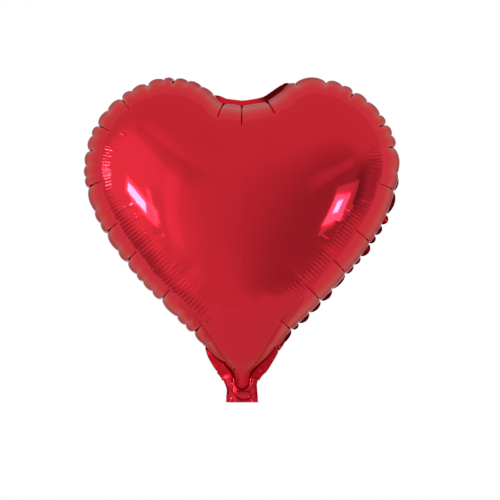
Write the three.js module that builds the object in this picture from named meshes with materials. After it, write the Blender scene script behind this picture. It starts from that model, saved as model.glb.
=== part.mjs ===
// Heart-shaped foil balloon, inflated, with its flat filling tail and the self-closing valve inside it.
// Millimetres, +Z up. The front of the heart faces -Y and +X is to its right when seen from the front.
// The origin is the point under the tip where a ribbon is tied round the neck.
import * as THREE from 'three';

// Driving dimensions of the inflated heart
const halfWidth = 187.5;        // to the cut edge of the seam, at the widest point
const widestHeight = 262;
const lobeTopX = 87;
const lobeTopHeight = 374;
const notchHeight = 347.5;
const seamWidth = 5;            // flat heat-seal band outside the inflated body
const halfDepth = 88.6;         // of the inflated body, front or back of the seam
const middleHeight = 205;       // the thickest place, on the centre line
const fullness = 0.7;           // 0 gives a round dome, 1 one that is flat in the middle and steep at the rim

// Film and gaps between the separate layers
const filmWall = 0.6;           // solid stand-in for 0.04 mm film
const layerGap = 0.35;
const seamHalf = 0.6;           // half thickness of the fused band

// Neck and tail
const tailHalfWidth = 19;
const tailBottom = -13.6;
const foldHeight = -2.6;        // the tail folds about this line, just under the inflated tip
const neckBottom = foldHeight + 1.8;
const tailTop = foldHeight - 2; // the two gaps leave room for the thickness of the stack as it turns
const channelHalfWidth = 7.9;   // gas channel through the neck
const tipHeight = 1;            // lower end of the inflated tip
const neckHalfWidth = 9.5;      // half width of the inflated tongue in the neck
const tailSealWidth = 4.5;

// Valve: two clear films lying face to face, bonded to the panels at the neck
const valveHalfWidth = 6;
const valveBottom = 5;
const valveTop = 62;
const valveWall = 0.5;
const bondTop = 0.7;

// Mesh density
const rings = 10;
const flangeSteps = 3;          // flange facets for each column of the panels
const scallopHeight = 2.2;
const chordDirections = 16;

// ---------------------------------------------------------------- outlines

// Points along one cubic curve, without its last point.
function curvePoints(from, control1, control2, to, count) {
  const corners = [from, control1, control2, to].map(([x, z]) => new THREE.Vector2(x, z));
  return new THREE.CubicBezierCurve(...corners).getPoints(count).slice(0, count);
}

// Right half of the line where the two panels meet the seam, from the tip up to the notch.
function rightRim() {
  const side = halfWidth - seamWidth;
  const top = lobeTopHeight - seamWidth;
  const notch = notchHeight - seamWidth - 1;
  const tip = [0, tipHeight];
  const neck = [neckHalfWidth, 13];
  const shoulder = [36, 46];
  const widest = [side, widestHeight];
  const lobeTop = [lobeTopX, top];
  return [
    ...curvePoints(tip, [5.5, tipHeight], [neckHalfWidth, 5], neck, 4),
    ...curvePoints(neck, [11, 26], [24, 32], shoulder, 5),
    ...curvePoints(shoulder, [85, 100], [side - 4, 176], widest, 15),
    ...curvePoints(widest, [side + 1, 344], [116, top], lobeTop, 11),
    ...curvePoints(lobeTop, [37, top], [44, notch], [0, notch], 7),
    new THREE.Vector2(0, notch),
  ];
}

// Right half of the cut edge, with one point for each point of the rim.
function rightCutEdge() {
  const neckTop = [tailHalfWidth, 15];
  const wing = [23, 20];
  const widest = [halfWidth, widestHeight];
  const lobeTop = [lobeTopX, lobeTopHeight];
  const neckSide = curvePoints([tailHalfWidth, neckBottom], [tailHalfWidth, 3], [tailHalfWidth, 8], neckTop, 4);
  return [
    ...neckSide,
    ...curvePoints(neckTop, [19.5, 16], [21, 18], wing, 2),
    ...curvePoints(wing, [28, 26], [34, 32], [44, 42], 3),
    ...curvePoints([44, 42], [90, 96], [halfWidth - 4, 174], widest, 15),
    ...curvePoints(widest, [halfWidth + 1, 346], [117, lobeTopHeight], lobeTop, 11),
    ...curvePoints(lobeTop, [34, lobeTopHeight], [47, notchHeight], [0, notchHeight], 7),
    new THREE.Vector2(0, notchHeight),
  ];
}

const mirrorX = (point) => new THREE.Vector2(-point.x, point.y);

// The whole rim as a closed loop, anticlockwise seen from the front, starting at the tip.
function closedRim() {
  const right = rightRim();
  const left = right.slice(1, -1).reverse().map(mirrorX);
  return [...right, ...left];
}

// The loop moved sideways by a distance, inwards where it is negative.
function offsetLoop(loop, distance) {
  return loop.map((point, i) => {
    const before = loop[(i + loop.length - 1) % loop.length];
    const after = loop[(i + 1) % loop.length];
    const along = after.clone().sub(before).normalize();
    return new THREE.Vector2(point.x + along.y * distance, point.y - along.x * distance);
  });
}

// ---------------------------------------------------------------- bulge of the film

// Distance from a point to the nearest crossing of the loop in one direction.
function reach(loop, x, z, dx, dz) {
  let nearest = Infinity;
  for (let i = 0; i < loop.length; i += 1) {
    const a = loop[i];
    const b = loop[(i + 1) % loop.length];
    const ex = b.x - a.x;
    const ez = b.y - a.y;
    const cross = dx * ez - dz * ex;
    if (Math.abs(cross) < 1e-12) continue;
    const distance = ((a.x - x) * ez - (a.y - z) * ex) / cross;
    const share = ((a.x - x) * dz - (a.y - z) * dx) / cross;
    if (distance > 0 && share >= 0 && share <= 1) nearest = Math.min(nearest, distance);
  }
  return nearest;
}

// Height of a taut film over a point of the plane inside the rim, before scaling. The two parts of each
// chord through the point are multiplied, which gives r*r - d*d in a circle, and averaged over directions.
function tautHeight(loop, x, z) {
  let sum = 0;
  for (let k = 0; k < chordDirections; k += 1) {
    const angle = (Math.PI * (k + 0.5)) / chordDirections;
    const dx = Math.cos(angle);
    const dz = Math.sin(angle);
    sum += 1 / (reach(loop, x, z, dx, dz) * reach(loop, x, z, -dx, -dz));
  }
  return Math.sqrt(chordDirections / sum);
}

// Height of the film. It can't stretch, so it stays steep for some way in from the rim.
function bulge(loop, x, z, tallest) {
  const share = Math.min(1, tautHeight(loop, x, z) / tallest);
  return halfDepth * ((1 - fullness) * share + fullness * Math.sin((Math.PI / 2) * share));
}

// ---------------------------------------------------------------- meshes

function meshGeometry(positions, triangles) {
  const geometry = new THREE.BufferGeometry();
  geometry.setAttribute('position', new THREE.Float32BufferAttribute(positions, 3));
  geometry.setIndex(triangles);
  geometry.computeVertexNormals();
  return geometry;
}

// One grid of a panel's skin: a middle point, then rings of points out to the rim.
function skinPoints(loop, middle, heightOf) {
  const points = [[middle.x, -heightOf(middle.x, middle.y), middle.y]];
  for (let ring = 1; ring <= rings; ring += 1) {
    const share = Math.sin((Math.PI / 2) * (ring / rings));
    for (const rimPoint of loop) {
      const x = middle.x + (rimPoint.x - middle.x) * share;
      const z = middle.y + (rimPoint.y - middle.y) * share;
      points.push([x, ring === rings ? -layerGap : -heightOf(x, z), z]);
    }
  }
  return points;
}

// Triangles of one skin grid, facing -Y.
function skinTriangles(columns, first) {
  const triangles = [];
  const at = (ring, column) => first + 1 + (ring - 1) * columns + (column % columns);
  for (let column = 0; column < columns; column += 1) {
    triangles.push([first, at(1, column), at(1, column + 1)]);
    for (let ring = 1; ring < rings; ring += 1) {
      triangles.push([at(ring, column), at(ring + 1, column), at(ring + 1, column + 1)]);
      triangles.push([at(ring, column), at(ring + 1, column + 1), at(ring, column + 1)]);
    }
  }
  return triangles;
}

// The inside of a skin: every point moved in by the film's wall, square to the film.
function insidePoints(outer, triangles, innerRim) {
  const normals = meshGeometry(outer.flat(), triangles.flat()).getAttribute('normal');
  const firstOnRim = outer.length - innerRim.length;
  return outer.map(([x, y, z], i) => {
    if (i >= firstOnRim) {
      const onRim = innerRim[i - firstOnRim];
      return [onRim.x, y, onRim.y];
    }
    return [x - filmWall * normals.getX(i), y - filmWall * normals.getY(i), z - filmWall * normals.getZ(i)];
  });
}

// Half of the inflated body: a domed shell of film, open at the seam plane. side is -1 for the
// front half, towards -Y, and 1 for the back half.
function panelGeometry(side) {
  const rim = closedRim();
  const columns = rim.length;
  const middle = new THREE.Vector2(0, middleHeight);
  const tallest = tautHeight(rim, middle.x, middle.y);
  const outer = skinPoints(rim, middle, (x, z) => layerGap + bulge(rim, x, z, tallest));
  const outerTriangles = skinTriangles(columns, 0);
  const inner = insidePoints(outer, outerTriangles, offsetLoop(rim, -filmWall));
  const innerTriangles = skinTriangles(columns, outer.length).map(([a, b, c]) => [a, c, b]);
  const triangles = [...outerTriangles, ...innerTriangles];
  const lastRing = 1 + (rings - 1) * columns;
  for (let column = 0; column < columns; column += 1) {
    const a = lastRing + column;
    const b = lastRing + ((column + 1) % columns);
    triangles.push([a, a + outer.length, b + outer.length], [a, b + outer.length, b]);
  }
  const positions = [...outer, ...inner].flatMap(([x, y, z]) => [x, -side * y, z]);
  const faces = side < 0 ? triangles : triangles.map(([a, b, c]) => [a, c, b]);
  return meshGeometry(positions, faces.flat());
}

// Share of the full scallop at a height: none beside the neck or in the notch.
function scallopShare(x, z) {
  const aboveNeck = THREE.MathUtils.smoothstep(z, 25, 60);
  const besideNotch = THREE.MathUtils.smoothstep(Math.abs(x), 25, 60);
  return aboveNeck * besideNotch;
}

// The fused band outside the inflated body, open at the neck so that gas can pass.
function seamGeometry() {
  const rim = closedRim();
  const offsetRim = offsetLoop(rim, layerGap);
  const rightInner = [];
  const rightOuter = [];
  rightCutEdge().forEach((outer, i) => {
    const inner = offsetRim[i];
    const beside = Math.max(inner.x, i < rightRim().length - 1 ? channelHalfWidth : 0);
    rightInner.push(new THREE.Vector2(beside, i === 0 ? neckBottom : inner.y));
    rightOuter.push(outer);
  });
  const whole = (half) => [...half, ...half.slice(0, -1).reverse().map(mirrorX)];
  const inner = whole(rightInner);
  const outer = whole(rightOuter);

  const positions = [];
  for (let i = 0; i < inner.length - 1; i += 1) {
    for (let step = 0; step < flangeSteps + (i === inner.length - 2 ? 1 : 0); step += 1) {
      const share = step / flangeSteps;
      const a = inner[i].clone().lerp(inner[i + 1], share);
      const b = outer[i].clone().lerp(outer[i + 1], share);
      const along = outer[i + 1].clone().sub(outer[i]).normalize();
      const swell = scallopHeight * Math.sin(Math.PI * share) * scallopShare(b.x, b.y);
      b.x += along.y * swell;
      b.y -= along.x * swell;
      positions.push(a.x, -seamHalf, a.y, b.x, -seamHalf, b.y, b.x, seamHalf, b.y, a.x, seamHalf, a.y);
    }
  }
  const sections = positions.length / 12;
  const triangles = [];
  for (let section = 0; section < sections - 1; section += 1) {
    for (let corner = 0; corner < 4; corner += 1) {
      const a = section * 4 + corner;
      const b = section * 4 + ((corner + 1) % 4);
      triangles.push(a, b, b + 4, a, b + 4, a + 4);
    }
  }
  const last = (sections - 1) * 4;
  triangles.push(0, 2, 1, 0, 3, 2);
  triangles.push(last, last + 1, last + 2, last, last + 2, last + 3);
  return meshGeometry(positions, triangles);
}

// A flat strip of film given by its limits along X, Y and Z.
function strip(x0, x1, y0, y1, z0, z1) {
  const geometry = new THREE.BoxGeometry(x1 - x0, y1 - y0, z1 - z0);
  geometry.translate((x0 + x1) / 2, (y0 + y1) / 2, (z0 + z1) / 2);
  return geometry;
}

// A clear valve film: a thin strip whose free end is rounded.
function valveFilm(yLow, yHigh) {
  const outline = new THREE.Shape();
  outline.moveTo(-valveHalfWidth, valveBottom);
  outline.lineTo(valveHalfWidth, valveBottom);
  outline.lineTo(valveHalfWidth, valveTop - valveHalfWidth);
  outline.absarc(0, valveTop - valveHalfWidth, valveHalfWidth, 0, Math.PI, false);
  outline.closePath();
  const geometry = new THREE.ExtrudeGeometry(outline, {
    depth: yHigh - yLow,
    bevelEnabled: false,
    curveSegments: 6,
  });
  geometry.rotateX(Math.PI / 2);
  geometry.translate(0, yHigh, 0);
  return geometry;
}

// ---------------------------------------------------------------- materials

const redFoil = new THREE.MeshStandardMaterial({ color: 0xbe1e28, roughness: 0.12, metalness: 1 });
const sealedFoil = new THREE.MeshStandardMaterial({ color: 0x8c141c, roughness: 0.3, metalness: 1 });
const clearFilm = new THREE.MeshStandardMaterial({
  color: 0xe6e8ea,
  roughness: 0.25,
  metalness: 0,
  transparent: true,
  opacity: 0.35,
});
const weldedFilm = new THREE.MeshStandardMaterial({ color: 0xa2303a, roughness: 0.45, metalness: 0.3 });
const releaseInk = new THREE.MeshStandardMaterial({ color: 0xd9d4c8, roughness: 0.8, metalness: 0 });

// ---------------------------------------------------------------- assembly

const balloon = new THREE.Group();

function add(name, geometry, material) {
  const mesh = new THREE.Mesh(geometry, material);
  mesh.name = name;
  balloon.add(mesh);
}

// Inflated envelope
add('front_panel', panelGeometry(-1), redFoil);
add('back_panel', panelGeometry(1), redFoil);
add('seam_flange', seamGeometry(), sealedFoil);

// Valve films, welds and the ink that keeps the channel open between the welds
const lipFace = 0.25;
const lipBack = lipFace + valveWall;
add('valve_front_film', valveFilm(-lipBack, -lipFace), clearFilm);
add('valve_back_film', valveFilm(lipFace, lipBack), clearFilm);

const bondFace = 0.4;
const bondBack = 1.1;
const bondHalfWidth = 7;
for (const [name, y0, y1] of [['valve_front_weld', -bondBack, -bondFace], ['valve_back_weld', bondFace, bondBack]]) {
  add(name, strip(-bondHalfWidth, bondHalfWidth, y0, y1, neckBottom, bondTop), weldedFilm);
}
const inkHalf = 0.1;
const inkHalfWidth = 6.5;
add('release_ink', strip(-inkHalfWidth, inkHalfWidth, -inkHalf, inkHalf, neckBottom, bondTop), releaseInk);

// Flat tail: two films joined along their long sides, open at the cut end for the filling nozzle
const sealHalf = 0.3;
const tailFace = sealHalf + 0.3;
const tailOuter = tailFace + filmWall;
const sealInner = tailHalfWidth - tailSealWidth;
add('tail_front_film', strip(-tailHalfWidth, tailHalfWidth, -tailOuter, -tailFace, tailBottom, tailTop), redFoil);
add('tail_back_film', strip(-tailHalfWidth, tailHalfWidth, tailFace, tailOuter, tailBottom, tailTop), redFoil);
for (const [name, x0, x1] of [
  ['tail_left_seal', -tailHalfWidth, -sealInner],
  ['tail_right_seal', sealInner, tailHalfWidth],
]) {
  add(name, strip(x0, x1, -sealHalf, sealHalf, tailBottom, tailTop), sealedFoil);
}

export default balloon;
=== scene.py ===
"""Looks of an inflated heart-shaped foil balloon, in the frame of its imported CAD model.

Metres, +Z up. The front faces -Y, +X is to its right, and the origin is the neck tie under the tip.
"""

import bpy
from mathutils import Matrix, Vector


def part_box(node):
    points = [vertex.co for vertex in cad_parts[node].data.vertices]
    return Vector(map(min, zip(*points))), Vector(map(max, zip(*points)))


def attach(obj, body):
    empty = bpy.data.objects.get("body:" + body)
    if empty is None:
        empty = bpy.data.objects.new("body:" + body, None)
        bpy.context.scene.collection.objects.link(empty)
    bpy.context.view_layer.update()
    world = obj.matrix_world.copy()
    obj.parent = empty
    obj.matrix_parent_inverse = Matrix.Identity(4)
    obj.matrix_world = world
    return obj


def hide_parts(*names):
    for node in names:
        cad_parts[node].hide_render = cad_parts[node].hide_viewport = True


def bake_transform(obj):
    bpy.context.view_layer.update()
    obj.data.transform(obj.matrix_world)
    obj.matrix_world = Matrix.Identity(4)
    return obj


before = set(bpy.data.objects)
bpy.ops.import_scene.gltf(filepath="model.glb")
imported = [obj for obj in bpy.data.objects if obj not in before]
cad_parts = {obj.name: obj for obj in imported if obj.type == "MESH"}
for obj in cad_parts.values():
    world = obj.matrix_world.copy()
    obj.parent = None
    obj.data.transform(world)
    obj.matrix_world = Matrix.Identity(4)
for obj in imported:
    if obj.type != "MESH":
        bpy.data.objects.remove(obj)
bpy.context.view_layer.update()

import math

import bpy
import numpy as np
from mathutils import Quaternion, Vector

MM = 0.001

# ---------------------------------------------------------------- sizes from the frame

panel_low, panel_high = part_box("front_panel")
seam_low, seam_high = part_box("seam_flange")
tail_low, tail_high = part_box("tail_front_film")

EDGE = 1.3 * MM                 # the film's edge lies this far inside the widest part of the seam
RIM_SIDE = seam_high.x - EDGE
RIM_TOP = seam_high.z - EDGE
TIP = panel_low.z
DEPTH = -panel_low.y
TAIL_HALF = tail_high.x
TAIL_BOTTOM = tail_low.z
NECK_HALF = 9.5 * MM
KINK_HEIGHT = 15 * MM           # the heart's edge turns into the side of the tail here

# ---------------------------------------------------------------- camera

LENS = 85.0
SENSOR = 36.0
VIEW_WIDTH = 0.6                # what the picture shows, across, at the seam plane
VIEW_CENTRE = (0.0096, 0.1692)  # the X and Z that the camera looks at


def make_camera():
    data = bpy.data.cameras.new("camera")
    data.lens = LENS
    data.sensor_width = SENSOR
    camera = bpy.data.objects.new("camera", data)
    distance = VIEW_WIDTH * LENS / SENSOR
    camera.location = (VIEW_CENTRE[0], -distance, VIEW_CENTRE[1])
    camera.rotation_euler = (math.pi / 2, 0, 0)
    bpy.context.scene.collection.objects.link(camera)
    bpy.context.scene.camera = camera


make_camera()

# ---------------------------------------------------------------- small helpers


def smoothstep(x, low, high):
    t = np.clip((x - low) / (high - low), 0, 1)
    return t * t * (3 - 2 * t)


def cubic(start, control1, control2, end, count):
    """Points along one cubic curve in the XZ plane, without its last point. Millimetres in, metres out."""
    t = (np.arange(count) / count)[:, None]
    p0, p1, p2, p3 = (np.array(p, float) * MM for p in (start, control1, control2, end))
    return (1 - t) ** 3 * p0 + 3 * (1 - t) ** 2 * t * p1 + 3 * (1 - t) * t * t * p2 + t**3 * p3


def make_object(name, vertices, faces, smooth=True):
    mesh = bpy.data.meshes.new(name)
    mesh.from_pydata([tuple(v) for v in vertices], [], faces)
    mesh.update()
    obj = bpy.data.objects.new(name, mesh)
    bpy.context.scene.collection.objects.link(obj)
    if smooth:
        mesh.polygons.foreach_set("use_smooth", [True] * len(mesh.polygons))
    return obj


def give_painted_shade(obj, values):
    """Store how much shade is painted on the foil at each vertex, from 0 to 1, for the material to read."""
    layer = obj.data.attributes.new("painted_shade", "FLOAT", "POINT")
    layer.data.foreach_set("value", np.asarray(values, dtype=np.float32))


# ---------------------------------------------------------------- the rim


def half_rim():
    """Right half of the weld line, from the tip up to the notch."""
    side = RIM_SIDE / MM
    top = RIM_TOP / MM
    tip = TIP / MM
    notch = top - 27.5
    neck = (NECK_HALF / MM, 13)
    shoulder = (36, 46)
    return np.vstack([
        cubic((0, tip), (5.5, tip), (neck[0], 5), neck, 80),
        cubic(neck, (11, 26), (24, 32), shoulder, 160),
        cubic(shoulder, (85, 100), (side - 4, 176), (side, 262), 800),
        cubic((side, 262), (side + 1, 344), (116, top), (87, top), 500),
        cubic((87, top), (37, top), (44, notch), (0, notch), 300),
        [[0, notch * MM]],
    ])


COLUMNS = 1440
RIB_COLUMNS = 6                 # one fine pleat takes this many columns
COARSE = 4                      # the middle of a panel has a quarter of the columns


def closed_rim():
    """Evenly spaced points of the whole weld line, anticlockwise from the tip, with their normals."""
    half = half_rim()
    steps = np.linalg.norm(np.diff(half, axis=0), axis=1)
    along = np.concatenate([[0], np.cumsum(steps)])
    even = np.linspace(0, along[-1], COLUMNS // 2 + 1)
    right = np.stack([np.interp(even, along, half[:, k]) for k in range(2)], axis=1)
    left = right[1:-1][::-1] * (-1, 1)
    loop = np.vstack([right, left])
    tangent = np.roll(loop, -1, axis=0) - np.roll(loop, 1, axis=0)
    tangent /= np.linalg.norm(tangent, axis=1)[:, None]
    normal = np.stack([tangent[:, 1], -tangent[:, 0]], axis=1)
    return loop, normal, along[-1]


rim, rim_normal, HALF_LENGTH = closed_rim()
arc = np.arange(COLUMNS) / COLUMNS * 2 * HALF_LENGTH
MIDDLE = np.array([0, 0.205])

# ---------------------------------------------------------------- base bulge of the film


def chord_height(points, loop, directions=48):
    """Height of a taut film over points inside the loop, before scaling. The two parts of each chord
    through a point are multiplied, which gives r*r - d*d in a circle, and averaged over directions."""
    a = loop
    e = np.roll(loop, -1, axis=0) - loop
    total = np.zeros(len(points))
    for k in range(directions):
        angle = math.pi * (k + 0.5) / directions
        dx, dz = math.cos(angle), math.sin(angle)
        cross = dx * e[:, 1] - dz * e[:, 0]
        cross = np.where(np.abs(cross) < 1e-12, 1e-12, cross)
        ax = a[None, :, 0] - points[:, None, 0]
        az = a[None, :, 1] - points[:, None, 1]
        distance = (ax * e[:, 1] - az * e[:, 0]) / cross
        share = (ax * dz - az * dx) / cross
        hit = (share >= 0) & (share <= 1)
        ahead = np.where(hit & (distance > 0), distance, np.inf).min(axis=1)
        behind = np.where(hit & (distance < 0), -distance, np.inf).min(axis=1)
        total += 1 / (ahead * behind)
    return np.sqrt(directions / total)


BASE_COLUMNS = 240
BASE_ROWS = 40


def soften(grid, passes):
    """Blur a polar grid a little, round the columns and along the rows."""
    for _ in range(passes):
        grid = (np.roll(grid, 1, axis=1) + 2 * grid + np.roll(grid, -1, axis=1)) / 4
        inner = (grid[:-2] + 2 * grid[1:-1] + grid[2:]) / 4
        grid = np.vstack([grid[:1], inner, grid[-1:]])
    return grid


def base_ratio():
    """The film's height on a coarse polar grid, divided by its main trend, so that it is smooth."""
    step = COLUMNS // BASE_COLUMNS
    loop = rim[::step]
    shares = np.sin(np.pi / 2 * (np.arange(1, BASE_ROWS) / BASE_ROWS))
    points = MIDDLE + shares[:, None, None] * (loop - MIDDLE)[None]
    height = chord_height(points.reshape(-1, 2), rim[:: step // 2]).reshape(len(shares), -1)
    ratio = height / np.sqrt(1 - shares**2)[:, None]
    centre = chord_height(MIDDLE[None], loop)[0]
    ratio = np.vstack([np.full(BASE_COLUMNS, centre), ratio, ratio[-1] * 2 - ratio[-2]])
    return soften(ratio, 4) / centre


def catmull(values, where, periodic):
    """Smooth interpolation of rows of values at fractional places along the first axis."""
    count = len(values)
    i = np.floor(where).astype(int)
    t = (where - i)[:, None]
    picks = [i - 1, i, i + 1, i + 2]
    if periodic:
        picks = [p % count for p in picks]
    else:
        picks = [np.clip(p, 0, count - 1) for p in picks]
    a, b, c, d = (values[p] for p in picks)
    return b + 0.5 * t * (c - a + t * (2 * a - 5 * b + 4 * c - d + t * (3 * (b - c) + d - a)))


FINE_EDGE = 36 * MM             # distances from the rim, along the film
FINE_BAND = 112 * MM
FILM_RADIUS = 0.215             # from the middle to the rim, along the film
ROW_STEPS = (1.8 * MM, 2.5 * MM, 4.2 * MM)
FULLNESS = 0.7                  # 0 gives a round dome, 1 one flat in the middle and steep at the rim


def row_places():
    """Distances from the rim along the film, as shares of the way from the rim to the middle."""
    edge = np.arange(0, FINE_EDGE, ROW_STEPS[0])
    band = np.arange(FINE_EDGE, FINE_BAND, ROW_STEPS[1])
    inner = np.arange(FINE_BAND, FILM_RADIUS - ROW_STEPS[2] / 2, ROW_STEPS[2])
    fine = np.concatenate([edge, band]) / FILM_RADIUS
    return fine, inner / FILM_RADIUS


fine_rows, coarse_rows = row_places()
rows = np.concatenate([fine_rows, coarse_rows])
shares = np.cos(np.pi / 2 * rows)


def tip_height(x, z):
    """Height of the film low down, where each level cut is close to an ellipse."""
    half = half_rim()
    half = half[half[:, 1] < 0.25]
    levels = np.concatenate([np.linspace(TIP + 1 * MM, 24 * MM, 12), np.linspace(30 * MM, 0.2, 30)])
    axis = chord_height(np.stack([np.zeros_like(levels), levels], axis=1), rim[::2])
    widths = np.interp(levels, half[:, 1], half[:, 0])
    slimness = np.polynomial.Polynomial.fit(levels, axis / widths, 6)
    width = np.interp(z, half[:, 1], half[:, 0])
    centre = slimness(np.clip(z, levels[0], levels[-1])) * width
    return centre * np.sqrt(np.clip(1 - (x / np.maximum(width, 1e-6)) ** 2, 0, 1))


def base_surface():
    """X, height and Z of the smooth film at every row and column."""
    ratio = base_ratio()
    ratio = catmull(ratio, (1 - rows) * BASE_ROWS, periodic=False)
    columns = np.arange(COLUMNS) / COLUMNS * BASE_COLUMNS
    ratio = catmull(ratio.T.copy(), columns, periodic=True).T
    plane = MIDDLE + shares[:, None, None] * (rim - MIDDLE)[None]
    height = ratio * np.sqrt(np.clip(1 - shares**2, 0, 1))[:, None]
    low = 1 - smoothstep(plane[..., 1], 120 * MM, 190 * MM)
    near_tip = tip_height(plane[..., 0], plane[..., 1]) / chord_height(MIDDLE[None], rim[::6])[0]
    height = height * (1 - low) + near_tip * low
    share = height / height.max()
    height = DEPTH * ((1 - FULLNESS) * share + FULLNESS * np.sin(np.pi / 2 * share))
    return np.stack([plane[..., 0], height, plane[..., 1]], axis=-1)


base = base_surface()


def surface_normals(points):
    """Outward unit normals of a grid whose rows run from the rim to the middle. Height is +Y here."""
    around = np.roll(points, -1, axis=1) - np.roll(points, 1, axis=1)
    inward = np.gradient(points, axis=0)
    normal = np.cross(inward, around)
    normal /= np.linalg.norm(normal, axis=2)[..., None] + 1e-12
    flip = np.where(normal[..., 1].mean() < 0, -1, 1)
    return normal * flip


normals = surface_normals(base)
normals[0, :, 1] = 0
normals[0] /= np.linalg.norm(normals[0], axis=1)[:, None]

# ---------------------------------------------------------------- place of each point beside the rim


def beside_rim(points):
    """Arc place of the nearest rim point, and distance to it in the plane, for each point."""
    flat = points.reshape(-1, 2)
    place = np.empty(len(flat))
    away = np.empty(len(flat))
    chunk = 4000
    for start in range(0, len(flat), chunk):
        part = flat[start : start + chunk]
        square = ((part[:, None] - rim[None]) ** 2).sum(axis=2)
        nearest = square.argmin(axis=1)
        tangent = np.stack([-rim_normal[nearest, 1], rim_normal[nearest, 0]], 1)
        along = ((part - rim[nearest]) * tangent).sum(1)
        place[start : start + chunk] = arc[nearest] + along
        away[start : start + chunk] = np.sqrt(square.min(axis=1))
    return place.reshape(points.shape[:-1]), away.reshape(points.shape[:-1])


place, away = beside_rim(base[..., ::2])

# ---------------------------------------------------------------- creases, scallops and ribs

# Main creases: distance along the weld line from the tip, and how far in they run, in millimetres
DRAWN_HALF = 579.6              # length of half the weld line that these distances are for
RIGHT_CREASES = (
    (95, 24), (143, 34), (187, 29), (233, 32), (302, 30),
    (354, 15), (384, 17), (439, 15), (474, 8), (512, 7), (553, 28),
)
LEFT_CREASES = (
    (40, 10), (92, 19), (146, 23), (205, 24), (247, 24), (306, 26),
    (350, 11), (382, 29), (426, 28), (461, 8), (494, 9), (560, 28),
)
NOTCH_CREASE = 36
# Small cusps between them, also from the tip
RIGHT_CUSPS = (66, 106, 124, 163, 201, 214, 245, 259, 273, 323, 369, 397, 419, 454)
LEFT_CUSPS = (70, 105, 118, 160, 176, 187, 222, 261, 276, 318, 332, 369, 404, 441, 482, 511, 528, 545)
MAIN_DEPTH = 3.0 * MM           # how far the edge is drawn in at a main cusp
SMALL_DEPTH = 1.7 * MM          # and at a small one
CREASE_DEPTH = 1.5 * MM         # along a main crease, and as much again at its outer end
CREASE_WIDTH = 0.65 * MM
SHORT_DEPTH = 1.2 * MM          # of the short crease at every cusp
SHORT_WIDTH = 0.75 * MM
SWELL = 0.6 * MM                # of the film between the main creases
FAR_DIP = 0.8 * MM              # of the soft dip far in, in line with each main crease
TIP_FOLD_DEPTH = 0.7 * MM
RIB_HEIGHT = 0.6 * MM
RIPPLE_HEIGHT = 0.9 * MM
PITCH = 2 * HALF_LENGTH / COLUMNS


def all_cusps():
    """Cusps of the whole rim in order: their column places, depth, and length of the crease inwards."""
    total = 2 * DRAWN_HALF
    main = [(DRAWN_HALF, NOTCH_CREASE)]
    main += list(RIGHT_CREASES) + [(total - place, length) for place, length in LEFT_CREASES]
    small = list(RIGHT_CUSPS) + [total - place for place in LEFT_CUSPS]
    cusps = [(place, MAIN_DEPTH, length * MM) for place, length in main]
    cusps += [(place, SMALL_DEPTH, 0.0) for place in small]
    places, depths, lengths = np.array(sorted(cusps)).T
    return np.round(places / total * COLUMNS) * PITCH, depths, lengths


cusp_place, cusp_depth, cusp_length = all_cusps()
main_cusps = cusp_length > 0


def between(values, where):
    """For each arc place, the index of the gap between cusps it lies in, its share of it, and its width."""
    total = 2 * HALF_LENGTH
    where = where % total
    index = np.searchsorted(values, where, side="right") - 1
    start = values[index]
    after = np.concatenate([values[1:], [values[0] + total]])
    end = after[index]
    start = np.where(index < 0, values[-1] - total, start)
    end = np.where(index < 0, values[0], end)
    return index % len(values), np.clip((where - start) / (end - start), 0, 1), end - start


def from_tip(where):
    """Distance along the weld line from the tip, the shorter way."""
    where = where % (2 * HALF_LENGTH)
    return np.minimum(where, 2 * HALF_LENGTH - where)


def right_flank(where):
    """1 along the lower right edge, where the welded band shows outside the film, and 0 elsewhere."""
    where = where % (2 * HALF_LENGTH)
    return smoothstep(where, 60 * MM, 95 * MM) * (1 - smoothstep(where, 300 * MM, 345 * MM))


def notch(where):
    """1 along the dip between the two lobes, where the welded band stands up in front."""
    beyond = where % (2 * HALF_LENGTH) - HALF_LENGTH
    return smoothstep(beyond, -68 * MM, -46 * MM) * (1 - smoothstep(beyond, 24 * MM, 38 * MM))


STAND_OUT = 1.0 * MM            # scallop tops, outside the smooth rim
PULLED_IN = 2.2 * MM            # the film's edge on the lower right
NOTCH_DROP = 4.5 * MM


def scallops(where):
    """How far the edge of the film stands out of the smooth rim, in the plane of the heart."""
    index, share, width = between(cusp_place, where)
    following = cusp_depth[(index + 1) % len(cusp_depth)]
    depth = (cusp_depth[index] * (1 - share) + following * share) * np.clip(width / (15 * MM), 0.6, 1.15)
    arcs = STAND_OUT - depth * (2 * share - 1) ** 2
    arcs = arcs * (1 - 0.85 * right_flank(where)) * (1 - 0.8 * notch(where))
    return arcs * smoothstep(from_tip(where), 25 * MM, 70 * MM)


def creases():
    """Depth of the narrow folds that run in from the cusps. The main ones are long and sharp."""
    places = cusp_place[main_cusps]
    lengths = cusp_length[main_cusps]
    index, share, width = between(places, place)
    nearer = np.where(share < 0.5, index, (index + 1) % len(places))
    distance = np.minimum(share, 1 - share) * width
    length = lengths[nearer]
    deep = CREASE_DEPTH + CREASE_DEPTH * (1 - smoothstep(away, 2 * MM, 12 * MM))
    deep *= 1 - smoothstep(away, 0.8 * length, 1.1 * length)
    total = deep * np.exp(-distance / CREASE_WIDTH)

    _, share, width = between(cusp_place, place)
    distance = np.minimum(share, 1 - share) * width
    short = SHORT_DEPTH * (1 - smoothstep(away, 1 * MM, 8 * MM))
    deepest = np.maximum(total, short * np.exp(-distance / SHORT_WIDTH))
    at_band = notch(place) * (1 - smoothstep(reach, 1 * MM, 9 * MM))
    return deepest * (1 - at_band) * smoothstep(place_tip, 0.03, 0.06)


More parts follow.
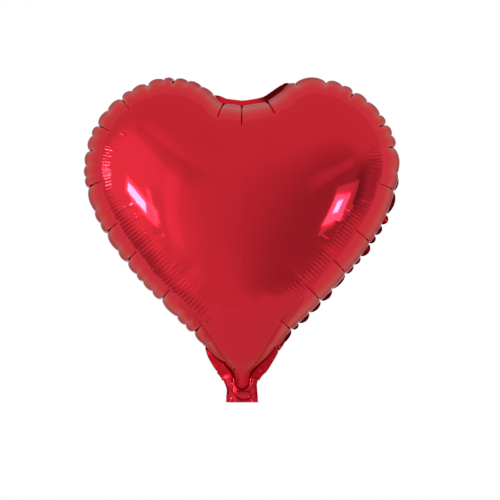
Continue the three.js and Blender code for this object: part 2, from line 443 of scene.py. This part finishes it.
def pillows():
    """The film swells a little between the main creases, and dips softly far in along each of them."""
    places = cusp_place[main_cusps]
    _, share, width = between(places, place)
    swell = SWELL * (4 * share * (1 - share)) ** 0.7 * smoothstep(reach, 3 * MM, 14 * MM)
    swell *= 1 - smoothstep(away, 16 * MM, 36 * MM)
    distance = np.minimum(share, 1 - share) * width
    dip = FAR_DIP * np.exp(-((distance / (7 * MM)) ** 2))
    dip *= smoothstep(away, 18 * MM, 36 * MM) * (1 - smoothstep(away, 42 * MM, 70 * MM))
    low = 1 - smoothstep(base[..., 2], 0.16, 0.21)
    return swell - dip * low * smoothstep(base[..., 2], 0.06, 0.12)


def tip_line():
    """Distance from the rim of the fold that runs up each side from the tongue."""
    return 0.24 * base[..., 2] - 1 * MM


def tip_folds():
    """Profile of that fold, from 0 to 1."""
    beside = np.exp(-(((away - tip_line()) / (1.3 * MM)) ** 2))
    beside *= 0.65 + 0.35 * np.sin(place / PITCH * 2 * math.pi / RIB_COLUMNS)
    return beside * smoothstep(base[..., 2], 14 * MM, 24 * MM) * (1 - smoothstep(base[..., 2], 0.08, 0.105))


def ribs(random):
    """Short, fine pleats square to the rim, in a band inside the main creases."""
    count = COLUMNS // RIB_COLUMNS
    turns = place / (2 * HALF_LENGTH) * count
    number = np.floor(turns).astype(int) % count
    share = turns - np.floor(turns)
    tall = random.uniform(0.55, 1.0, count)[number]
    start = (21 + random.uniform(-1.5, 1.5, count))[number] * MM
    start = np.minimum(start, tip_line() - 1 * MM)
    ragged = random.uniform(-6, 6, count)[number] * MM
    tip = from_tip(place)
    left = (place % (2 * HALF_LENGTH)) > HALF_LENGTH
    wide = 1 - smoothstep(tip, 0.24, 0.3) + 0.6 * left * smoothstep(tip, 0.28, 0.33)
    end = 39 * MM + 12 * MM * wide + ragged
    end = np.minimum(end, tip_line() + 26 * MM * smoothstep(base[..., 2], 0.05, 0.13) + 4 * MM)
    window = smoothstep(away, start, start + 5 * MM) * (1 - smoothstep(away, end - 9 * MM, end))
    low_end = 20 * MM
    high_end = np.where(left, 385 * MM, 335 * MM)
    begun = smoothstep(tip, low_end, low_end + 50 * MM)
    flank = begun * (1 - smoothstep(tip, high_end, high_end + 60 * MM))
    zone = flank + 0.25 * notch(place)
    return RIB_HEIGHT * tall * window * zone * np.abs(np.sin(np.pi * share))


def ripples(random):
    """Soft shallow folds that run inwards from the rim and fade."""
    total = np.zeros_like(place)
    for waves in (23, 31, 44):
        phase = random.uniform(0, 2 * math.pi)
        drift = random.uniform(0.5, 1.5)
        angle = waves * place / (2 * HALF_LENGTH) * 2 * math.pi
        total += np.sin(angle + phase + drift * np.sin(angle / waves * 3)) / waves
    fade = smoothstep(away, 6 * MM, 22 * MM) * (1 - smoothstep(away, 26 * MM, 56 * MM))
    return RIPPLE_HEIGHT * total * fade


def folds(seed):
    """How far the film stands out along its normal at each point of a panel."""
    random = np.random.default_rng(seed)
    lively = smoothstep(base[..., 2], 22 * MM, 60 * MM)
    raised = (pillows() + ribs(random) + ripples(random)) * lively
    return raised - creases() - TIP_FOLD_DEPTH * tip_folds()


reach = np.hypot(away, base[..., 1])    # straight from the nearest point of the rim
place_tip = from_tip(place)

# ---------------------------------------------------------------- panels

HALF_GAP = 0.15 * MM


def panel_faces():
    """Quads of the fine band, the strip where four columns become one, the middle, and its last fan."""
    fine = len(fine_rows)
    faces = []
    for r in range(fine - 1):
        for c in range(COLUMNS):
            d = (c + 1) % COLUMNS
            faces.append((r * COLUMNS + c, r * COLUMNS + d, (r + 1) * COLUMNS + d, (r + 1) * COLUMNS + c))
    few = COLUMNS // COARSE
    last = (fine - 1) * COLUMNS
    first = fine * COLUMNS
    for k in range(few):
        f = [last + (k * COARSE + i) % COLUMNS for i in range(COARSE + 1)]
        a, b = first + k, first + (k + 1) % few
        faces += [(f[0], f[1], a), (f[1], f[2], a), (f[2], b, a), (f[2], f[3], b), (f[3], f[4], b)]
    for r in range(len(coarse_rows) - 1):
        for k in range(few):
            n = (k + 1) % few
            p = first + r * few
            faces.append((p + k, p + n, p + few + n, p + few + k))
    centre = first + len(coarse_rows) * few
    final = centre - few
    faces += [(final + k, final + (k + 1) % few, centre) for k in range(few)]
    return faces


def rim_side(where):
    """Unit vectors out of the heart, in its plane, at places along the rim."""
    places = np.append(arc, 2 * HALF_LENGTH)
    where = where % (2 * HALF_LENGTH)
    x = np.interp(where, places, np.append(rim_normal[:, 0], rim_normal[0, 0]))
    z = np.interp(where, places, np.append(rim_normal[:, 1], rim_normal[0, 1]))
    return np.stack([x, np.zeros_like(x), z], axis=-1)


def panel_points(side, seed):
    """Vertices of one panel. side is -1 for the front, towards -Y, and 1 for the back."""
    edge = scallops(place) * (1 - smoothstep(away, 3 * MM, 20 * MM))
    drawn_in = PULLED_IN * right_flank(place) + NOTCH_DROP * notch(place)
    edge -= drawn_in * (1 - smoothstep(away, 5 * MM, 60 * MM))
    moved = base + normals * folds(seed)[..., None] + rim_side(place) * edge[..., None]
    moved[0, :, 1] = 0
    moved[..., 1] = side * (np.maximum(moved[..., 1], 0) + HALF_GAP)
    fine = moved[: len(fine_rows)].reshape(-1, 3)
    coarse = moved[len(fine_rows) :, ::COARSE]
    centre = coarse[-1].mean(axis=0)
    centre[1] += side * 0.06 * MM
    return np.vstack([fine, coarse.reshape(-1, 3), centre[None]]), moved[0]


faces = panel_faces()
front_points, weld_line = panel_points(-1, 21)
back_points, _ = panel_points(1, 22)
front = make_object("front_panel_film", front_points, faces)
back = make_object("back_panel_film", back_points, [f[::-1] for f in faces])
# Painted shade on the panel films: dark lines along the creases, a darker band along the rim edge, and a
# dark line along the fold beside the tongue.
painted_crease_shade = np.clip(creases() / MM - 0.3, 0, 1)
painted_edge_shade = 0.5 * (1 - smoothstep(away, 1 * MM, 11 * MM))
painted_film_shade = np.maximum(painted_crease_shade, np.maximum(painted_edge_shade, 0.4 * tip_folds()))
for panel in (front, back):
    painted_fine_shade = painted_film_shade[: len(fine_rows)].ravel()
    give_painted_shade(panel, np.append(painted_fine_shade, np.zeros(len(front_points) - len(painted_fine_shade))))

# ---------------------------------------------------------------- seam flange


# The flat band near the tip: distance from the tip along the weld line, and width, in millimetres
RIGHT_WING = ((14, 11.5), (38, 12.0), (62, 7.0), (95, 0.8))
LEFT_WING = ((14, 14.5), (38, 14.0), (60, 6.5), (76, 1.0))
BAND_WIDTH = 5.2 * MM
NOTCH_BAND = 6.8 * MM
# One stretch of band beside the notch stands up
LOOSE_PLACE = 0.537             # along the weld line from the tip
LOOSE_HALF = 10 * MM
LOOSE_REACH = 5.0 * MM
BAND_HALF_THICKNESS = 0.1 * MM
BAND_STEPS = 8


def wing_reach():
    """How far the flat band stands out beside the tip, at each column."""
    tip = from_tip(arc) / MM
    right = np.interp(tip, *np.array(RIGHT_WING).T)
    left = np.interp(tip, *np.array(LEFT_WING).T)
    return np.where(arc < HALF_LENGTH, right, left) * MM


def band_reach(random):
    """How far the band stands out of the film's edge, in the plane of the heart, at each column."""
    index, share, width = between(cusp_place, arc)
    arch = (4 * share * (1 - share)) ** 0.7
    lobe = random.uniform(0.7, 1.25, len(cusp_place))[index]
    flank = (0.4 + 4.2 * arch * lobe) * MM
    plain = 0.9 * MM
    side = right_flank(arc)
    reach = plain * (1 - side) + flank * side
    reach = reach * (1 - notch(arc)) + NOTCH_BAND * notch(arc)
    loose = LOOSE_REACH * np.sqrt(np.clip(1 - ((arc - LOOSE_PLACE) / LOOSE_HALF) ** 2, 0, 1))
    return np.maximum(np.maximum(reach, loose), wing_reach())


def seam_band():
    """The welded band outside the rim. It is turned back, except beside the tip and in the notch."""
    random = np.random.default_rng(31)
    out = band_reach(random)
    width = np.maximum(BAND_WIDTH, out * 1.03)
    back = np.sqrt(width**2 - out**2)
    crumple = 0.12 + 0.65 * smoothstep(wing_reach(), 1 * MM, 6 * MM)
    start = weld_line[:, ::2]
    keep = np.nonzero(rim[:, 1] > KINK_HEIGHT - 0.5 * MM)[0]
    layers = []
    for level in (-1, 1):
        for step in np.linspace(0, 1, BAND_STEPS):
            wave = np.sin(arc / (3.1 * MM) + 3 * step) + np.sin(arc / (5.3 * MM) - 4 * step + 1)
            wave *= 0.5 * MM * crumple * smoothstep(step, 0, 0.6)
            lean = level * BAND_HALF_THICKNESS + wave
            xz = start + rim_normal * (out * step - back / width * lean)[:, None]
            y = back * step + out / width * lean
            layers.append(np.stack([xz[:, 0], y, xz[:, 1]], axis=1)[keep])
    count = len(keep)
    order = list(range(BAND_STEPS)) + [2 * BAND_STEPS - 1 - k for k in range(BAND_STEPS)]
    faces = []
    for c in range(count - 1):
        for a, b in zip(order, order[1:] + order[:1]):
            faces.append((a * count + c, b * count + c, b * count + c + 1, a * count + c + 1))
    faces.append(tuple(a * count for a in order[::-1]))
    faces.append(tuple(a * count + count - 1 for a in order))
    band = make_object("seam_flange_band", np.array(layers).reshape(-1, 3), faces)
    # Painted light and shade on the band: dark where it is turned back, lighter on the left of the notch
    # and beside the tip, where it faces the front.
    notch_painted_light = notch(arc) * (1 - smoothstep(rim[:, 0], 16 * MM, 30 * MM))
    painted_light = np.maximum(notch_painted_light, 0.75 * smoothstep(wing_reach(), 2 * MM, 7 * MM))
    give_painted_shade(band, np.tile(1 - painted_light[keep], 2 * BAND_STEPS))
    return band


seam = seam_band()

# ---------------------------------------------------------------- neck and tail


# Half widths of the tail at heights, in millimetres
TAIL_LEFT = ((-13.6, 18.8), (2.5, 18.4), (13, 22.4), (15, 22.6))
TAIL_RIGHT = ((-13.6, 19.3), (8, 17.9), (15, 19.8))


def tail_edge(table, z):
    heights, widths = np.array(table).T
    return np.interp(z / MM, heights, widths) * MM


def tail_y(x, z, side):
    """Depth of one tail film: bulged where the filling channel runs, crumpled at its lower corners."""
    channel = 1 - smoothstep(np.abs(x), 6.3 * MM, 11 * MM)
    low = smoothstep(-z, -1 * MM, 13 * MM)
    wave = 0.5 * MM * np.sin(x / (4.6 * MM) + 0.4) * smoothstep(-z, -8 * MM, 6 * MM)
    corner = smoothstep(np.abs(x), 9 * MM, 15 * MM) * smoothstep(-z, 4 * MM, 12 * MM)
    wave -= 1.0 * MM * corner * np.sin((np.abs(x) * 1.3 + z) / (2.2 * MM))
    shoulder = smoothstep(np.abs(x), 9.5 * MM, 12 * MM) * smoothstep(z, 0, 9 * MM)
    wave += 0.8 * MM * shoulder * np.sin((np.abs(x) - 0.4 * z) / (1.9 * MM))
    fold = 0.6 * MM * np.exp(-(((z + 7.5 * MM - 40 * x * x) / (1.4 * MM)) ** 2)) * channel
    wave *= 1 - 0.6 * channel
    return wave + side * (HALF_GAP + 1.55 * MM * channel * (1 - 0.45 * low) - fold)


def painted_tail_shade(x, z):
    """Painted shade on the tail: under the tongue, along a curved fold, and down both sides."""
    under = np.exp(-((z / (1.1 * MM)) ** 2)) * (1 - smoothstep(np.abs(x), 5 * MM, 8 * MM))
    smile = -10.5 * MM + 55 * (x - 2 * MM) ** 2
    fold = np.exp(-(((z - smile) / (1.3 * MM)) ** 2)) * (1 - smoothstep(np.abs(x), 13 * MM, 16 * MM))
    sides = smoothstep(np.abs(x), 14.5 * MM, 16.5 * MM) * smoothstep(-z, -9 * MM, -1 * MM)
    return np.clip(0.9 * under + 0.8 * fold + 0.75 * sides, 0, 1)


def tail_films():
    """Front and back films of the neck and tail, cut out round the inflated tongue."""
    half = half_rim()
    tongue = half[half[:, 1] <= 13 * MM]
    across = np.linspace(-1, 1, 97)
    made = []
    for side, name in ((-1, "tail_front"), (1, "tail_back")):
        lines = []
        for u in across:
            x_top = abs(u) * TAIL_HALF
            if x_top < NECK_HALF:
                top = np.interp(x_top, tongue[:, 0], tongue[:, 1]) + 1.2 * MM
            else:
                top = KINK_HEIGHT
            z = np.linspace(min(top, KINK_HEIGHT), TAIL_BOTTOM, 64)
            widest = tail_edge(TAIL_LEFT if u < 0 else TAIL_RIGHT, z)
            outer = smoothstep(abs(u), NECK_HALF / TAIL_HALF, 1)
            x = np.sign(u) * (x_top + outer * (widest - TAIL_HALF))
            lines.append(np.stack([x, tail_y(x, z, side), z], axis=1))
        grid = np.array(lines)
        rows_z = grid.shape[1]
        faces = []
        for i in range(len(across) - 1):
            for j in range(rows_z - 1):
                quad = (i * rows_z + j, i * rows_z + j + 1, (i + 1) * rows_z + j + 1, (i + 1) * rows_z + j)
                faces.append(quad if side < 0 else quad[::-1])
        skin = make_object(name + "_skin", grid.reshape(-1, 3), faces)
        # Painted shade, read by the foil material.
        give_painted_shade(skin, painted_tail_shade(grid[..., 0], grid[..., 2]).ravel())
        made.append(skin)
    return made


tail_front, tail_back = tail_films()

# ---------------------------------------------------------------- materials


def new_material(name):
    material = bpy.data.materials.new(name)
    material.use_nodes = True
    tree = material.node_tree
    return material, tree, tree.nodes["Principled BSDF"]


def noise(tree, scale, detail=2.0, stretch=(1, 1, 1)):
    coordinates = tree.nodes.new("ShaderNodeTexCoord")
    mapping = tree.nodes.new("ShaderNodeMapping")
    mapping.inputs["Scale"].default_value = stretch
    tree.links.new(coordinates.outputs["Object"], mapping.inputs["Vector"])
    texture = tree.nodes.new("ShaderNodeTexNoise")
    texture.inputs["Scale"].default_value = scale
    texture.inputs["Detail"].default_value = detail
    tree.links.new(mapping.outputs["Vector"], texture.inputs["Vector"])
    return texture.outputs["Fac"]


def ramp(tree, source, low, high):
    node = tree.nodes.new("ShaderNodeMapRange")
    node.inputs["To Min"].default_value = low
    node.inputs["To Max"].default_value = high
    node.inputs["From Min"].default_value = 0.3
    node.inputs["From Max"].default_value = 0.7
    tree.links.new(source, node.inputs["Value"])
    return node.outputs["Result"]


def mix_colours(tree, source, first, second):
    node = tree.nodes.new("ShaderNodeMix")
    node.data_type = "RGBA"
    node.inputs["A"].default_value = (*first, 1)
    node.inputs["B"].default_value = (*second, 1)
    tree.links.new(source, node.inputs["Factor"])
    return node.outputs["Result"]


COAT = 0.7                      # weight of the clear coat on plain foil
COAT_LOSS = 1.3                 # how fast the coat goes as more shade is painted
COAT_IOR = 1.33
COAT_ROUGHNESS = 0.05


def lacquer(tree, shader, painted_shade):
    """A clear coat whose weight drops where shade is painted, so the painted dark creases and edges reflect
    less.
    """
    weight = tree.nodes.new("ShaderNodeMath")
    weight.operation = "MULTIPLY_ADD"
    weight.use_clamp = True
    weight.inputs[1].default_value = -COAT_LOSS
    weight.inputs[2].default_value = COAT
    tree.links.new(painted_shade.outputs["Fac"], weight.inputs[0])
    tree.links.new(weight.outputs["Value"], shader.inputs["Coat Weight"])
    shader.inputs["Coat IOR"].default_value = COAT_IOR
    shader.inputs["Coat Roughness"].default_value = COAT_ROUGHNESS


def foil(name, first, second, painted_shade_colour, edge_tint, roughness, bump, coated):
    """Metallised film under a red lacquer: mirror bright, with faint rolling streaks, and darkened where
    shade is painted.
    """
    material, tree, shader = new_material(name)
    shader.inputs["Metallic"].default_value = 1.0
    shader.inputs["Specular Tint"].default_value = (*edge_tint, 1)
    colour = mix_colours(tree, noise(tree, 14, 3), first, second)
    painted_shade = tree.nodes.new("ShaderNodeAttribute")
    painted_shade.attribute_name = "painted_shade"
    if coated:
        lacquer(tree, shader, painted_shade)
    # Painted shade: the base colour goes towards the dark colour as the painted shade rises.
    painted_shade_mix = tree.nodes.new("ShaderNodeMix")
    painted_shade_mix.data_type = "RGBA"
    tree.links.new(painted_shade.outputs["Fac"], painted_shade_mix.inputs["Factor"])
    tree.links.new(colour, painted_shade_mix.inputs["A"])
    painted_shade_mix.inputs["B"].default_value = (*painted_shade_colour, 1)
    tree.links.new(painted_shade_mix.outputs["Result"], shader.inputs["Base Color"])
    streaks = noise(tree, 60, 2, stretch=(1, 1, 0.08))
    tree.links.new(ramp(tree, streaks, roughness * 0.85, roughness * 1.2), shader.inputs["Roughness"])
    node = tree.nodes.new("ShaderNodeBump")
    node.inputs["Strength"].default_value = bump
    node.inputs["Distance"].default_value = 0.4 * MM
    tree.links.new(noise(tree, 55, 3), node.inputs["Height"])
    tree.links.new(node.outputs["Normal"], shader.inputs["Normal"])
    return material


# The dark colours are painted shade: in the creases, along the edges and the tail, and on the turned-back
# seam band.
red_foil = foil(
    "red_foil", (0.57, 0.007, 0.022), (0.6, 0.009, 0.028), painted_shade_colour=(0.2, 0.002, 0.012),
    edge_tint=(0.55, 0.15, 0.2), roughness=0.07, bump=0.03, coated=True)
sealed_foil = foil(
    "sealed_foil", (0.6, 0.01, 0.025), (0.66, 0.014, 0.03), painted_shade_colour=(0.1, 0.001, 0.002),
    edge_tint=(0.35, 0.08, 0.08), roughness=0.22, bump=0.25, coated=False)


def clear_film():
    material, tree, shader = new_material("clear_film")
    shader.inputs["Base Color"].default_value = (0.9, 0.92, 0.94, 1)
    shader.inputs["Alpha"].default_value = 0.35
    tree.links.new(ramp(tree, noise(tree, 90, 2), 0.18, 0.34), shader.inputs["Roughness"])
    return material


def plain_film(name, first, second, roughness):
    material, tree, shader = new_material(name)
    tree.links.new(mix_colours(tree, noise(tree, 400, 2), first, second), shader.inputs["Base Color"])
    varied = ramp(tree, noise(tree, 300, 2), roughness * 0.8, roughness * 1.2)
    tree.links.new(varied, shader.inputs["Roughness"])
    return material


for obj in (front, back, tail_front, tail_back):
    obj.data.materials.append(red_foil)
seam.data.materials.append(sealed_foil)

finishes = {
    "valve_front_film": clear_film(),
    "valve_front_weld": plain_film("welded_film", (0.3, 0.03, 0.04), (0.42, 0.06, 0.07), 0.4),
    "release_ink": plain_film("release_ink", (0.6, 0.58, 0.5), (0.72, 0.7, 0.62), 0.8),
    "tail_left_seal": sealed_foil,
}
same_as = {
    "valve_back_film": "valve_front_film",
    "valve_back_weld": "valve_front_weld",
    "tail_right_seal": "tail_left_seal",
}
for name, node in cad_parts.items():
    finish = finishes.get(same_as.get(name, name))
    if finish:
        node.data.materials.clear()
        node.data.materials.append(finish)

# ---------------------------------------------------------------- stage and light


def make_floor():
    radius = 0.75
    drop = 0.6
    count = 96
    angles = [2 * math.pi * i / count for i in range(count)]
    ring = [(radius * math.cos(a), radius * math.sin(a), -drop) for a in angles]
    floor = make_object("floor", ring, [tuple(range(count))], smooth=False)
    material, _, shader = new_material("floor")
    shader.inputs["Base Color"].default_value = (0.78, 0.78, 0.78, 1)
    shader.inputs["Roughness"].default_value = 0.9
    floor.data.materials.append(material)


def towards(azimuth, elevation):
    """Direction from the balloon. Azimuth 0 points out of its front, and 90 to its right."""
    a, e = math.radians(azimuth), math.radians(elevation)
    return math.sin(a) * math.cos(e), -math.cos(a) * math.cos(e), math.sin(e)


BACKDROP = 1.0
ROOM_TINT = (1.0, 0.86, 0.86, 1)
# Soft bright and dark areas in front: azimuth, elevation, inner and outer radius in degrees, change
ROOM_AREAS = (
    (-46, 6, 14, 42, 0.42),
    (30, -7, 8, 38, -0.40),
    (66, -4, 10, 27, -0.34),
    (-84, -40, 12, 30, -0.36),
)
# Straight soft stripes, such as a curtain's folds: azimuth and elevation of both ends, half width, change
ROOM_STRIPES = (
    (-46, 38, -9, 8, 3.5, -0.22),
    (-14, 12, -25, -16, 2.5, 0.16),
    (-23, 3, -38, -22, 3.5, -0.16),
    (42, 13, 16, 6, 2.5, 0.22),
)
ROOM_BRIGHTNESS = 0.9


def ramp_up(tree, value, low, high, result):
    """A value that goes smoothly from 0 to result as the given one goes from low to high."""
    area = tree.nodes.new("ShaderNodeMapRange")
    area.interpolation_type = "SMOOTHSTEP"
    area.inputs["From Min"].default_value = low
    area.inputs["From Max"].default_value = high
    area.inputs["To Min"].default_value = 0
    area.inputs["To Max"].default_value = result
    tree.links.new(value, area.inputs["Value"])
    return area.outputs["Result"]


def facing(tree, direction):
    """How closely the view direction agrees with the given one, from -1 to 1."""
    coordinates = tree.nodes.new("ShaderNodeTexCoord")
    dot = tree.nodes.new("ShaderNodeVectorMath")
    dot.operation = "DOT_PRODUCT"
    dot.inputs[1].default_value = direction
    tree.links.new(coordinates.outputs["Generated"], dot.inputs[0])
    return dot.outputs["Value"]


def math_node(tree, operation, first, second):
    node = tree.nodes.new("ShaderNodeMath")
    node.operation = operation
    tree.links.new(first, node.inputs[0])
    if isinstance(second, float):
        node.inputs[1].default_value = second
    else:
        tree.links.new(second, node.inputs[1])
    return node.outputs["Value"]


def room_area(tree, azimuth, elevation, inner, outer, change):
    low, high = math.cos(math.radians(outer)), math.cos(math.radians(inner))
    return ramp_up(tree, facing(tree, towards(azimuth, elevation)), low, high, change)


def room_stripe(tree, azimuth1, elevation1, azimuth2, elevation2, half_width, change):
    """A stripe along the great circle through both ends, faded out beyond them."""
    start, end = Vector(towards(azimuth1, elevation1)), Vector(towards(azimuth2, elevation2))
    across = start.cross(end).normalized()
    middle = (start + end).normalized()
    half_length = math.degrees(middle.angle(start))
    width = math.sin(math.radians(half_width))
    off = math_node(tree, "ABSOLUTE", facing(tree, across), 0.0)
    band = ramp_up(tree, off, 1.4 * width, 0.6 * width, 1)
    low, high = math.cos(math.radians(half_length * 1.2)), math.cos(math.radians(half_length * 0.7))
    return math_node(tree, "MULTIPLY", band, ramp_up(tree, facing(tree, middle), low, high, change))


def make_world():
    """Plain white to look at. The foil reflects white behind it, and a softly uneven room in front."""
    world = bpy.data.worlds.new("studio")
    bpy.context.scene.world = world
    world.use_nodes = True
    tree = world.node_tree
    changes = [room_area(tree, *area) for area in ROOM_AREAS]
    changes += [room_stripe(tree, *stripe) for stripe in ROOM_STRIPES]
    total = math_node(tree, "ADD", changes[0], ROOM_BRIGHTNESS)
    for change in changes[1:]:
        total = math_node(tree, "ADD", total, change)
    room = tree.nodes["Background"]
    room.inputs["Color"].default_value = ROOM_TINT
    tree.links.new(total, room.inputs["Strength"])
    backdrop = tree.nodes.new("ShaderNodeBackground")
    backdrop.inputs["Color"].default_value = (1, 1, 1, 1)
    backdrop.inputs["Strength"].default_value = BACKDROP
    mix = tree.nodes.new("ShaderNodeMixShader")
    in_front = ramp_up(tree, facing(tree, (0, -1, 0)), -0.03, 0.03, 1)
    rays = tree.nodes.new("ShaderNodeLightPath")
    reflected = math_node(tree, "LESS_THAN", rays.outputs["Is Camera Ray"], 0.5)
    tree.links.new(math_node(tree, "MULTIPLY", in_front, reflected), mix.inputs["Fac"])
    tree.links.new(backdrop.outputs["Background"], mix.inputs[1])
    tree.links.new(room.outputs["Background"], mix.inputs[2])
    tree.links.new(mix.outputs["Shader"], tree.nodes["World Output"].inputs["Surface"])


def window(name, azimuth, elevation, size, radiance, roll=0.0, colour=(1, 1, 1), distance=2.2):
    """A bright rectangle that the foil reflects, aimed at the heart. roll turns it, in degrees."""
    data = bpy.data.lights.new(name, "AREA")
    data.shape = "RECTANGLE"
    data.size, data.size_y = size
    data.energy = radiance * math.pi * size[0] * size[1]
    data.color = colour
    lamp = bpy.data.objects.new(name, data)
    direction = Vector(towards(azimuth, elevation))
    lamp.location = Vector((0, 0, MIDDLE[1])) + direction * distance
    turned = direction.to_track_quat("Z", "Y") @ Quaternion((0, 0, 1), math.radians(roll))
    lamp.rotation_euler = turned.to_euler()
    lamp.visible_camera = False
    bpy.context.scene.collection.objects.link(lamp)


make_floor()
make_world()
PINK = (1, 0.62, 0.85)
window("left_pane", -42, -3, (0.5, 0.22), 26, roll=-33, colour=(1, 0.95, 0.97))
window("left_glow", -40, -4, (0.8, 0.4), 2.5, roll=-33, colour=PINK)
window("left_curtain", -31, -4, (0.06, 0.5), 2.2, roll=-4, colour=PINK)
window("left_side", -75, 5, (0.55, 0.08), 30, colour=(1, 0.9, 0.92))
window("right_window", 37, -7, (0.5, 0.42), 4.5, roll=-10, colour=PINK)
window("right_pane", 36, -6, (0.16, 0.18), 30, roll=-10, colour=(1, 0.85, 0.95))
window("right_curtain", 41, -6, (0.8, 0.7), 0.5)
bpy.context.scene.view_settings.view_transform = "Standard"

# ---------------------------------------------------------------- bodies and nodes

for obj, node, slot in (
    (front, "front_panel", "red_foil"),
    (back, "back_panel", "red_foil"),
    (seam, "seam_flange", "sealed_foil"),
):
    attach(obj, "envelope")
    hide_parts(node)

for obj, node in ((tail_front, "tail_front_film"), (tail_back, "tail_back_film")):
    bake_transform(obj)
    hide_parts(node)
